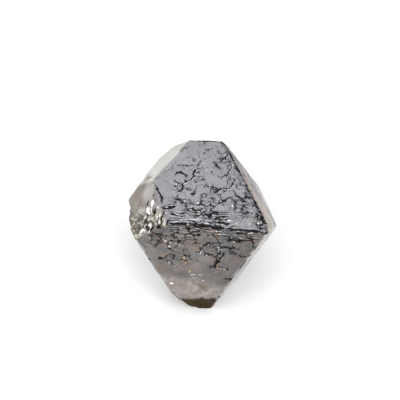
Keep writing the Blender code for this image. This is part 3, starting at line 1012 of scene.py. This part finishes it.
class CrystalSettings(bpy.types.PropertyGroup):
    """Sizes and colours of the crystal."""

    grid_steps: IntProperty(
        name="Grid steps", description="Steps from the grid's top to its girdle", default=157, min=8, max=158
    )
    rounding: FloatProperty(
        name="Edge rounding", description="How far an edge is worn round", default=0.022 * MM, unit="LENGTH"
    )
    ior: FloatProperty(name="Refractive index", description="How far it bends light", default=2.417, min=1)
    transmission: FloatProperty(
        name="Clearness", description="Share of light that passes the skin", default=1.0, subtype="FACTOR"
    )
    roughness: FloatProperty(name="Roughness", description="Of clear faces", default=0.05, subtype="FACTOR")
    satin: FloatProperty(
        name="Satin", description="Roughness added on pale stone", default=0.12, subtype="FACTOR"
    )
    density: FloatProperty(
        name="Absorption", description="Light lost inside, for each metre", default=30.0, min=0
    )
    stone_colour: swatch("Stone", "Darker cells of the upper face", (0.20, 0.20, 0.23))
    light_colour: swatch("Light cells", "Bluer light cells", (0.36, 0.39, 0.47))
    mauve_colour: swatch("Mauve cells", "Mauve light cells", (0.42, 0.38, 0.44))
    # The lower face's two colours are partly its own brown and blue grey and partly painted shade.
    warm_shaded_colour: swatch("Warm stone", "Mauve brown of the lower face", (0.15, 0.105, 0.08))
    cool_shaded_colour: swatch("Cool stone", "Blue grey of the lower face", (0.042, 0.050, 0.058))
    pale_colour: swatch("Pale stone", "The shoulder, the side faces and the back", (0.98, 0.975, 0.94))
    shade_colour: swatch("Pale shade", "Streaks in the pale stone", (0.66, 0.63, 0.58))
    # Cream and olive facets of the breaks: partly the break's own colour, partly painted highlight and
    # painted shade.
    cream_colour: swatch("Cream", "Bright facets of the left break", (0.86, 0.80, 0.64))
    olive_colour: swatch("Olive", "Dark facets of the left break", (0.11, 0.085, 0.045))
    tan_colour: swatch("Tan", "Brown clear stone of the left break", (0.31, 0.24, 0.16))
    brown_colour: swatch("Brown", "Brown of the warm spots", (0.15, 0.095, 0.05))
    frost_colour: swatch("Frost", "Frosted lower end", (0.27, 0.225, 0.20))
    fleck_colour: swatch("Frost flecks", "Whiter mottling of the frost", (0.52, 0.485, 0.455))
    # Brown of the broken tip: partly a stain, partly painted shade of the undercut break.
    stain_and_shade_colour: swatch("Stain", "Brown of the broken tip", (0.048, 0.025, 0.0))
    # Near black of the dark lines and of the tip's darkest part: painted shade.
    etch_shade_colour: swatch("Etched lines", "Dark of the etched steps", (0.01, 0.009, 0.009))
    glint_colour: swatch("Glints", "Bright sides of the etched steps", (0.85, 0.84, 0.86))
    amber_colour: swatch("Warm glints", "Amber glints of the lower face", (0.68, 0.45, 0.22))
    depth_colour: swatch("Depth", "Colour that light takes on inside", (0.72, 0.69, 0.67))


class StudioSettings(bpy.types.PropertyGroup):
    """Floor, lights and lens of the studio."""

    floor_size: FloatProperty(name="Floor", description="Side of the floor", default=3.0, unit="LENGTH")
    floor_colour: swatch("Floor colour", "Plain pale floor", (0.95, 0.95, 0.95))
    sky_colour: swatch("Surroundings", "Colour of the even light", (1.0, 1.0, 1.0))
    dusk: FloatProperty(
        name="Dim ring", description="Brightness above the horizon", default=0.55, subtype="FACTOR"
    )
    sky_strength: FloatProperty(
        name="Surroundings strength", description="Of the even light", default=1.15, min=0
    )
    light_power: FloatProperty(
        name="Side lights", description="Power of each side softbox", default=0.38, unit="POWER"
    )
    rear_power: FloatProperty(
        name="Rear light", description="Power of the softbox behind", default=0.056, unit="POWER"
    )
    rear_colour: swatch("Rear light colour", "A little blue", (0.92, 0.93, 1.0))
    lens: FloatProperty(name="Lens", description="Focal length", default=200.0, unit="CAMERA")


class DiamondSettings(bpy.types.PropertyGroup):
    """All settings of the rough diamond."""

    crystal: PointerProperty(type=CrystalSettings)
    studio: PointerProperty(type=StudioSettings)


class BuildCrystal(bpy.types.Operator):
    """Builds the etched surface of the crystal and its stone"""

    bl_idname = "rough_diamond.build_crystal"
    bl_label = "Crystal"

    def execute(self, context):
        sizes = context.scene.rough_diamond.crystal
        centre, vertices, triangles, masks = crystal_surface(sizes.grid_steps, sizes.rounding / MM)
        low, high = np.array(CAD_BOX)
        places = np.clip((vertices + centre) * MM, low, high)
        mesh = bpy.data.meshes.new("rough_diamond_surface")
        mesh.from_pydata(places, [], triangles)
        for name, mask in masks.items():
            values = np.clip(mask, 0, 1).astype(np.float32)
            mesh.attributes.new(name, "FLOAT", "POINT").data.foreach_set("value", values)
        mesh.shade_smooth()
        mesh.validate()
        surface = bpy.data.objects.new("rough_diamond_surface", mesh)
        context.scene.collection.objects.link(surface)
        mesh.materials.append(stone_material(sizes))
        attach(surface, "root")
        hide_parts(NODE)
        return {"FINISHED"}


class BuildStudio(bpy.types.Operator):
    """Lays the floor, hangs the lights and sets the camera"""

    bl_idname = "rough_diamond.build_studio"
    bl_label = "Studio"

    def execute(self, context):
        scene = context.scene
        studio = scene.rough_diamond.studio
        self.floor(scene, studio)
        self.surroundings(scene, studio)
        self.light(scene, *REAR_SOFTBOX, studio.rear_power).color = studio.rear_colour
        for softbox in SIDE_SOFTBOXES:
            self.light(scene, *softbox, studio.light_power)
        self.camera(scene, studio)
        scene.view_settings.view_transform = "Standard"
        return {"FINISHED"}

    @staticmethod
    def floor(scene, studio):
        """One square just under the stone."""
        half = studio.floor_size / 2
        corners = [(x * half, y * half, -FLOOR_DROP) for x, y in ((-1, -1), (1, -1), (1, 1), (-1, 1))]
        mesh = bpy.data.meshes.new("studio_floor")
        mesh.from_pydata(corners, [], [(0, 1, 2, 3)])
        floor = bpy.data.objects.new("studio_floor", mesh)
        scene.collection.objects.link(floor)
        material = bpy.data.materials.new("pale_floor")
        material.use_nodes = True
        shader = material.node_tree.nodes["Principled BSDF"]
        shader.inputs["Base Color"].default_value = opaque(studio.floor_colour)
        shader.inputs["Roughness"].default_value = 0.9
        shader.inputs["Specular IOR Level"].default_value = 0.1
        mesh.materials.append(material)

    @staticmethod
    def surroundings(scene, studio):
        """Even light from all round, with a dimmer ring above the horizon."""
        world = bpy.data.worlds.new("studio_surroundings")
        world.use_nodes = True
        flow = Flow(world.node_tree)
        direction = flow.node("ShaderNodeTexCoord", output="Generated")
        height = flow.node("ShaderNodeSeparateXYZ", output="Z", Vector=direction)
        pale, dim = opaque(studio.sky_colour), opaque([studio.dusk] * 3)
        stops = ((PALE_BELOW, pale), (DIM_FROM, dim), (DIM_TO, dim), (PALE_ABOVE, pale))
        sky = flow.node("ShaderNodeValToRGB", {"stops": stops}, Fac=height)
        background = world.node_tree.nodes["Background"]
        world.node_tree.links.new(sky.socket, background.inputs["Color"])
        background.inputs["Strength"].default_value = studio.sky_strength
        scene.world = world

    @staticmethod
    def light(scene, name, place, size, power):
        """A round softbox that looks at the stone."""
        data = bpy.data.lights.new(name, "AREA")
        data.shape = "DISK"
        data.size = size
        data.energy = power
        light = bpy.data.objects.new(name, data)
        light.location = place
        light.rotation_euler = (-Vector(place)).to_track_quat("-Z", "Y").to_euler()
        scene.collection.objects.link(light)
        return data

    @staticmethod
    def camera(scene, studio):
        """Right, up and towards-the-viewer directions of the photograph, turned with the crystal onto its
        resting face. The view spans the photograph's width at the crystal's centre."""
        yaw, pitch, roll = (math.radians(angle) for angle in (PHOTO_YAW, PHOTO_PITCH, PHOTO_ROLL))
        level = np.array([math.cos(yaw), math.sin(yaw), 0.0])
        ahead = np.array([-math.sin(yaw), math.cos(yaw), 0.0])
        lifted = np.array([0, 0, math.cos(pitch)]) + ahead * math.sin(pitch)
        turn = rest_turn()
        right = turn @ (level * math.cos(roll) + lifted * math.sin(roll))
        up = turn @ (lifted * math.cos(roll) - level * math.sin(roll))
        towards = np.cross(right, up)
        centre, _ = crystal_faces()
        middle = PHOTO_PX / 2
        across, above = (middle - CENTRE_PX[0]) / PX_PER_MM, (CENTRE_PX[1] - middle) / PX_PER_MM
        aim = centre + right * across + up * above
        data = bpy.data.cameras.new("photo_camera")
        data.lens = studio.lens
        span = PHOTO_PX / PX_PER_MM
        away = span * data.lens / data.sensor_width
        place = (aim + towards * away) * MM
        camera = bpy.data.objects.new("photo_camera", data)
        axes = Matrix(np.column_stack([right, up, towards])).to_4x4()
        camera.matrix_world = Matrix.Translation(Vector(place)) @ axes
        data.clip_start, data.clip_end = MM, FARTHEST_SEEN
        scene.collection.objects.link(camera)
        scene.camera = camera


class DiamondPanel(bpy.types.Panel):
    """Sidebar panel that lists the steps and their settings"""

    bl_idname = "VIEW3D_PT_rough_diamond"
    bl_label = "Rough Diamond"
    bl_space_type = "VIEW_3D"
    bl_region_type = "UI"
    bl_category = "Rough Diamond"

    def draw(self, context):
        settings = context.scene.rough_diamond
        for operator, group in ((BuildCrystal, settings.crystal), (BuildStudio, settings.studio)):
            box = self.layout.box()
            box.operator(operator.bl_idname)
            for name in group.__annotations__:
                box.prop(group, name)


CLASSES = (CrystalSettings, StudioSettings, DiamondSettings, BuildCrystal, BuildStudio, DiamondPanel)


def register():
    for item in CLASSES:
        bpy.utils.register_class(item)
    bpy.types.Scene.rough_diamond = PointerProperty(type=DiamondSettings)


def unregister():
    del bpy.types.Scene.rough_diamond
    for item in reversed(CLASSES):
        bpy.utils.unregister_class(item)


def main():
    register()
    bpy.ops.rough_diamond.build_crystal()
    bpy.ops.rough_diamond.build_studio()


if __name__ == "__main__":
    main()
